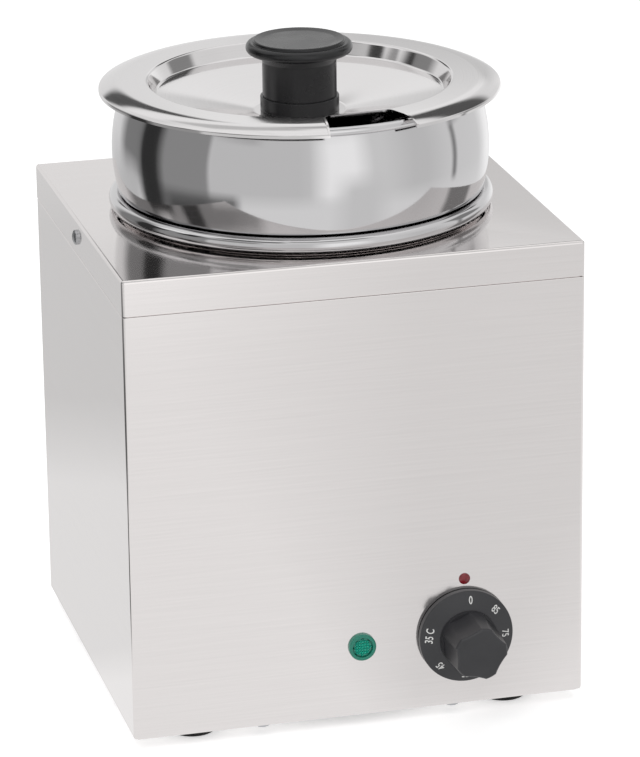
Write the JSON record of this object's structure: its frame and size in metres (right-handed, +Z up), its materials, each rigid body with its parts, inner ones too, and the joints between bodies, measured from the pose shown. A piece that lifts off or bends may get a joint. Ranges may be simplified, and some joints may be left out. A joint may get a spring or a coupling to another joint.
{
  "type": "chocolate bain-marie",
  "caption": "Square countertop bain-marie: a lidded steel pot hangs in a heated water tank, with a temperature dial and a pilot lamp on the front.",
  "frame": {"origin": "middle of the overall box, on the surface that the feet stand on", "axes": "+Z up; the front panel with the dial faces -Y; +X to the right of someone facing the front"},
  "size_m": [0.2448, 0.2806, 0.3408],
  "materials": {
    "brushed_stainless": "fine satin grain",
    "polished_stainless": "mirror polished",
    "satin_lid_steel": "soft satin",
    "black_bakelite": "moulded, low gloss",
    "dial_plastic": "moulded, satin",
    "green_lens": "translucent, faceted",
    "red_marker": "moulded, gloss",
    "black_rubber": "matte",
    "grey_nylon": "moulded",
    "zinc_steel": "zinc plated",
    "heater_steel": "heat-dulled sheath",
    "phenolic": "moulded phenolic",
    "brass_parts": "plain brass",
    "copper_tube": "drawn copper",
    "white_block": "moulded nylon"
  },
  "bodies": {
    "housing": {"base_plate": "brushed_stainless", "base_screws": "zinc_steel", "bulb_clip": "zinc_steel", "cable_gland_body": "grey_nylon", "cable_gland_cap": "grey_nylon", "cable_gland_nut": "grey_nylon", "cable_gland_seal": "black_rubber", "capillary_tube": "copper_tube", "cover_nuts": "zinc_steel", "cover_screws": "zinc_steel", "earth_nuts": "brass_parts", "earth_stud": "brass_parts", "foot_front_left": "black_rubber", "foot_front_right": "black_rubber", "foot_nuts": "zinc_steel", "foot_rear_left": "black_rubber", "foot_rear_right": "black_rubber", "foot_screws": "zinc_steel", "heater_clamp_bar": "zinc_steel", "heating_element": "heater_steel", "housing_wrap": "brushed_stainless", "index_marker": "red_marker", "pilot_lamp_body": "white_block", "pilot_lamp_lens": "green_lens", "pilot_lamp_nut": "grey_nylon", "rear_panel": "brushed_stainless", "rear_panel_screws": "zinc_steel", "safety_limiter": "phenolic", "sensing_bulb": "copper_tube", "tank_nuts": "zinc_steel", "tank_studs": "zinc_steel", "terminal_block": "white_block", "terminal_block_screws": "zinc_steel", "thermostat_body": "phenolic", "thermostat_frame": "zinc_steel", "thermostat_screws": "zinc_steel", "thermostat_terminals": "brass_parts", "top_cover": "brushed_stainless", "water_tank": "polished_stainless"},
    "dial": {"dial_knob": "dial_plastic", "thermostat_shaft": "zinc_steel"},
    "pot": {"pot": "polished_stainless"},
    "lid": {"lid": "satin_lid_steel", "lid_knob": "black_bakelite", "lid_knob_washer": "zinc_steel", "lid_knob_screw": "zinc_steel"}
  },
  "joints": [
    {"name": "dial_turn", "type": "hinge", "parent": "housing", "child": "dial", "pos_m": [0.056, -0.1097, 0.0462], "axis": [0, 1, 0], "range_deg": [0, 315]},
    {"name": "pot_lift", "type": "slide", "parent": "housing", "child": "pot", "axis": [0, 0, 1], "range_m": [0, 0.16]},
    {"name": "lid_lift", "type": "slide", "parent": "pot", "child": "lid", "axis": [0, 0, 1], "range_m": [0, 0.08]}
  ]
}
